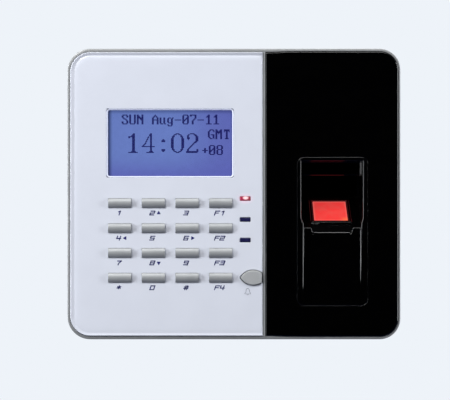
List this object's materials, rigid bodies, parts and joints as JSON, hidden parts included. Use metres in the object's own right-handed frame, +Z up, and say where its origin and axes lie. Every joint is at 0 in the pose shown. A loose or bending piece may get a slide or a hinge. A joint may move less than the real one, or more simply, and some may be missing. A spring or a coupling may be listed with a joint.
{
  "type": "fingerprint scanner terminal",
  "caption": "Wall-mounted access terminal with a lit display, a grid of number and function keys, status lights and a leaning fingerprint platen in a deep finger well.",
  "frame": {"origin": "centre of the wall plate's back face, on the wall", "axes": "+X to the right as seen from the front, +Y into the wall, +Z up; the terminal faces -Y"},
  "size_m": [0.168, 0.0396, 0.1466],
  "materials": {
    "white_gloss": "polished white moulding",
    "black_gloss": "polished black moulding",
    "black_matte": "fine matt moulding",
    "silver_paint": "satin silver paint",
    "key_silver": "satin silver paint on plastic",
    "wall_steel": "zinc plated sheet",
    "screw_steel": "plated",
    "shell_grey": "fine spark texture",
    "lcd_cell": "blue lit dot matrix cell",
    "lcd_lens": "clear window",
    "diffuser": "white diffuser",
    "silicone": "translucent silicone",
    "board_green": "solder mask",
    "sensor_glass": "red lit glass",
    "light_lit": "lit red light guide",
    "light_unlit": "unlit light guide",
    "socket_metal": "tinned shield",
    "terminal_green": "moulded terminal block",
    "ribbon": "flat flexible cable"
  },
  "bodies": {
    "wall_mount": {"wall_plate": "wall_steel", "lock_screw": "screw_steel"},
    "terminal": {"rear_shell": "shell_grey", "trim_frame": "silver_paint", "front_chassis": "black_matte", "white_front_panel": "white_gloss", "black_front_panel": "black_gloss", "divider_strip": "silver_paint", "lcd_window": "lcd_lens", "lcd_frame": "black_matte", "lcd_glass": "lcd_cell", "lcd_backlight": "diffuser", "lcd_board": "board_green", "lcd_ribbon": "ribbon", "keypad_mat": "silicone", "keypad_board": "board_green", "light_guide_1": "light_lit", "light_guide_2": "light_unlit", "light_guide_3": "light_unlit", "fingerprint_bezel": "black_gloss", "sensor_prism": "sensor_glass", "sensor_housing": "black_matte", "sensor_lens": "black_matte", "sensor_camera_board": "board_green", "sensor_light_board": "board_green", "sensor_cable": "black_matte", "main_board": "board_green", "ethernet_jack": "socket_metal", "usb_socket": "socket_metal", "power_jack": "black_matte", "terminal_block": "terminal_green", "coin_cell_holder": "black_matte", "coin_cell": "socket_metal", "speaker": "black_matte", "tamper_switch": "black_matte", "case_screw_1": "screw_steel", "case_screw_2": "screw_steel", "case_screw_3": "screw_steel", "case_screw_4": "screw_steel", "board_screw_1": "screw_steel", "board_screw_2": "screw_steel", "board_screw_3": "screw_steel"},
    "key_1_body": {"key_1": "key_silver"},
    "key_2_body": {"key_2": "key_silver"},
    "key_3_body": {"key_3": "key_silver"},
    "key_f1_body": {"key_f1": "key_silver"},
    "key_4_body": {"key_4": "key_silver"},
    "key_5_body": {"key_5": "key_silver"},
    "key_6_body": {"key_6": "key_silver"},
    "key_f2_body": {"key_f2": "key_silver"},
    "key_7_body": {"key_7": "key_silver"},
    "key_8_body": {"key_8": "key_silver"},
    "key_9_body": {"key_9": "key_silver"},
    "key_f3_body": {"key_f3": "key_silver"},
    "key_star_body": {"key_star": "key_silver"},
    "key_0_body": {"key_0": "key_silver"},
    "key_hash_body": {"key_hash": "key_silver"},
    "key_f4_body": {"key_f4": "key_silver"},
    "bell_key_body": {"bell_key": "key_silver"},
    "tamper_plunger_body": {"tamper_plunger": "diffuser"}
  },
  "joints": [
    {"name": "lift_off", "type": "slide", "parent": "wall_mount", "child": "terminal", "axis": [0, 0, 1], "range_m": [0, 0.006]},
    {"name": "key_1_press", "type": "slide", "parent": "terminal", "child": "key_1_body", "axis": [0, 1, 0], "range_m": [0, 0.0008], "stiffness_N_per_m": 600, "springref_m": -0.0006, "deforming": ["keypad_mat"]},
    {"name": "key_2_press", "type": "slide", "parent": "terminal", "child": "key_2_body", "axis": [0, 1, 0], "range_m": [0, 0.0008], "stiffness_N_per_m": 600, "springref_m": -0.0006, "deforming": ["keypad_mat"]},
    {"name": "key_3_press", "type": "slide", "parent": "terminal", "child": "key_3_body", "axis": [0, 1, 0], "range_m": [0, 0.0008], "stiffness_N_per_m": 600, "springref_m": -0.0006, "deforming": ["keypad_mat"]},
    {"name": "key_f1_press", "type": "slide", "parent": "terminal", "child": "key_f1_body", "axis": [0, 1, 0], "range_m": [0, 0.0008], "stiffness_N_per_m": 600, "springref_m": -0.0006, "deforming": ["keypad_mat"]},
    {"name": "key_4_press", "type": "slide", "parent": "terminal", "child": "key_4_body", "axis": [0, 1, 0], "range_m": [0, 0.0008], "stiffness_N_per_m": 600, "springref_m": -0.0006, "deforming": ["keypad_mat"]},
    {"name": "key_5_press", "type": "slide", "parent": "terminal", "child": "key_5_body", "axis": [0, 1, 0], "range_m": [0, 0.0008], "stiffness_N_per_m": 600, "springref_m": -0.0006, "deforming": ["keypad_mat"]},
    {"name": "key_6_press", "type": "slide", "parent": "terminal", "child": "key_6_body", "axis": [0, 1, 0], "range_m": [0, 0.0008], "stiffness_N_per_m": 600, "springref_m": -0.0006, "deforming": ["keypad_mat"]},
    {"name": "key_f2_press", "type": "slide", "parent": "terminal", "child": "key_f2_body", "axis": [0, 1, 0], "range_m": [0, 0.0008], "stiffness_N_per_m": 600, "springref_m": -0.0006, "deforming": ["keypad_mat"]},
    {"name": "key_7_press", "type": "slide", "parent": "terminal", "child": "key_7_body", "axis": [0, 1, 0], "range_m": [0, 0.0008], "stiffness_N_per_m": 600, "springref_m": -0.0006, "deforming": ["keypad_mat"]},
    {"name": "key_8_press", "type": "slide", "parent": "terminal", "child": "key_8_body", "axis": [0, 1, 0], "range_m": [0, 0.0008], "stiffness_N_per_m": 600, "springref_m": -0.0006, "deforming": ["keypad_mat"]},
    {"name": "key_9_press", "type": "slide", "parent": "terminal", "child": "key_9_body", "axis": [0, 1, 0], "range_m": [0, 0.0008], "stiffness_N_per_m": 600, "springref_m": -0.0006, "deforming": ["keypad_mat"]},
    {"name": "key_f3_press", "type": "slide", "parent": "terminal", "child": "key_f3_body", "axis": [0, 1, 0], "range_m": [0, 0.0008], "stiffness_N_per_m": 600, "springref_m": -0.0006, "deforming": ["keypad_mat"]},
    {"name": "key_star_press", "type": "slide", "parent": "terminal", "child": "key_star_body", "axis": [0, 1, 0], "range_m": [0, 0.0008], "stiffness_N_per_m": 600, "springref_m": -0.0006, "deforming": ["keypad_mat"]},
    {"name": "key_0_press", "type": "slide", "parent": "terminal", "child": "key_0_body", "axis": [0, 1, 0], "range_m": [0, 0.0008], "stiffness_N_per_m": 600, "springref_m": -0.0006, "deforming": ["keypad_mat"]},
    {"name": "key_hash_press", "type": "slide", "parent": "terminal", "child": "key_hash_body", "axis": [0, 1, 0], "range_m": [0, 0.0008], "stiffness_N_per_m": 600, "springref_m": -0.0006, "deforming": ["keypad_mat"]},
    {"name": "key_f4_press", "type": "slide", "parent": "terminal", "child": "key_f4_body", "axis": [0, 1, 0], "range_m": [0, 0.0008], "stiffness_N_per_m": 600, "springref_m": -0.0006, "deforming": ["keypad_mat"]},
    {"name": "bell_key_press", "type": "slide", "parent": "terminal", "child": "bell_key_body", "axis": [0, 1, 0], "range_m": [0, 0.0008], "stiffness_N_per_m": 600, "springref_m": -0.0006, "deforming": ["keypad_mat"]},
    {"name": "tamper_press", "type": "slide", "parent": "terminal", "child": "tamper_plunger_body", "axis": [0, -1, 0], "range_m": [0, 0.001], "stiffness_N_per_m": 300, "springref_m": -0.001}
  ]
}
